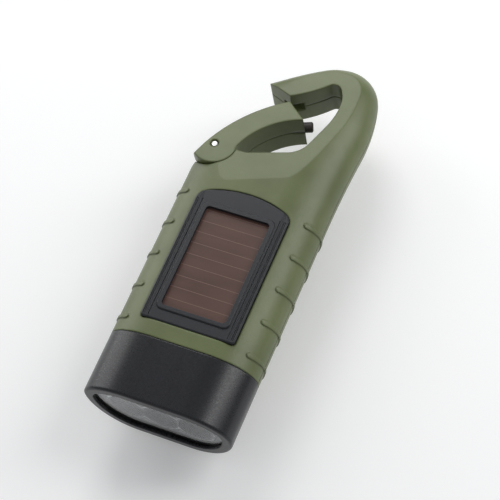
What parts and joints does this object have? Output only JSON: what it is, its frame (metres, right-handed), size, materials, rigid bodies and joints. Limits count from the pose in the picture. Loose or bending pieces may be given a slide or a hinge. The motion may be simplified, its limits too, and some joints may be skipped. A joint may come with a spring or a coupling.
{
  "type": "hand crank flashlight",
  "caption": "Flat hand crank flashlight with an oval lamp head, a framed solar panel on the front, a folding crank on the back and a carabiner hook with a sprung gate.",
  "frame": {"origin": "on the crank axis at the outer face of the crank arm, which is the face the flashlight lies on", "axes": "+X to the right seen from the solar panel, +Y from the lamp head towards the hook, +Z from the crank up to the solar panel"},
  "size_m": [0.0511, 0.1346, 0.0329],
  "materials": {
    "case_green": "fine moulded grain",
    "head_black": "satin moulded ABS",
    "black_plastic": "moulded",
    "lens_clear": "polished moulded polycarbonate",
    "rubber_black": "matt",
    "chrome_bright": "vacuum metallised, mirror bright",
    "led_clear": "clear epoxy dome",
    "board_green": "solder-masked glass fibre",
    "screw_steel": "zinc plated",
    "pin_steel": "ground and polished",
    "cell_brown": "resin-coated silicon with fine grid lines",
    "foam_grey": "closed-cell foam",
    "nylon_dark": "moulded nylon",
    "nylon_white": "moulded acetal",
    "magnet_nickel": "nickel plated magnet",
    "core_steel": "stacked electrical steel",
    "copper_coil": null,
    "cell_can": "nickel-plated steel can",
    "bronze_bush": "sintered bronze",
    "chip_black": "moulded epoxy",
    "button_black": "soft-touch rubber"
  },
  "bodies": {
    "case": {"front_shell": "case_green", "rear_shell": "case_green", "lamp_head": "head_black", "lens_window": "lens_clear", "lens_seal": "rubber_black", "lamp_carrier": "black_plastic", "reflector": "chrome_bright", "led_left": "led_clear", "led_centre": "led_clear", "led_right": "led_clear", "led_board": "board_green", "led_board_screws": "screw_steel", "head_screws": "screw_steel", "solar_bezel": "head_black", "solar_cell": "cell_brown", "solar_pad": "foam_grey", "gate_hinge_pin": "pin_steel", "gate_spring": "pin_steel", "crank_bush": "bronze_bush", "idler_axle": "pin_steel", "gear_plate": "black_plastic", "gear_plate_screws": "screw_steel", "stator_core": "core_steel", "stator_screws": "screw_steel", "coil_bobbin": "nylon_white", "coil_winding": "copper_coil", "main_board": "board_green", "board_screws": "screw_steel", "board_parts": "chip_black", "battery": "cell_can", "battery_pad": "foam_grey", "battery_tabs": "cell_can", "push_switch": "chip_black", "switch_screws": "screw_steel", "case_screws": "screw_steel"},
    "gate": {"gate_front": "case_green", "gate_rear": "case_green", "gate_latch_pin": "nylon_dark", "gate_screw": "screw_steel"},
    "crank": {"crank_arm": "head_black", "crank_hub_cap": "head_black", "crank_screw": "screw_steel", "crank_shaft": "pin_steel", "drive_gear": "nylon_white", "knob_pin": "pin_steel"},
    "knob": {"crank_knob": "head_black"},
    "idler": {"idler_gear": "nylon_white"},
    "rotor": {"rotor_pinion": "nylon_white", "rotor_shaft": "pin_steel", "rotor_magnet": "magnet_nickel"},
    "button": {"switch_button": "button_black", "switch_plunger": "nylon_white"}
  },
  "joints": [
    {"name": "gate_hinge", "type": "hinge", "parent": "case", "child": "gate", "pos_m": [-0.0183, 0.0243, 0.022], "axis": [0, 0, 1], "range_deg": [-10, 18], "stiffness_Nm_per_rad": 0.02, "springref_deg": 18},
    {"name": "crank_spin", "type": "hinge", "parent": "case", "child": "crank", "pos_m": [0, 0, 0], "axis": [0, 0, 1], "continuous": true},
    {"name": "idler_spin", "type": "hinge", "parent": "case", "child": "idler", "pos_m": [-0.00591, -0.0154, 0.0113], "axis": [0, 0, 1], "continuous": true},
    {"name": "rotor_spin", "type": "hinge", "parent": "case", "child": "rotor", "pos_m": [0.0066, -0.02046, 0.0127], "axis": [0, 0, 1], "continuous": true},
    {"name": "knob_fold", "type": "hinge", "parent": "crank", "child": "knob", "pos_m": [0, -0.037, 0.0025], "axis": [-1, 0, 0], "range_deg": [0, 90]},
    {"name": "button_press", "type": "slide", "parent": "case", "child": "button", "axis": [0, -0.4104, 0.9119], "range_m": [0, 0.001], "stiffness_N_per_m": 800}
  ],
  "couplings": [
    {"joint": "idler_spin", "follows": "crank_spin", "ratio": -4.5},
    {"joint": "rotor_spin", "follows": "crank_spin", "ratio": 15.75}
  ]
}
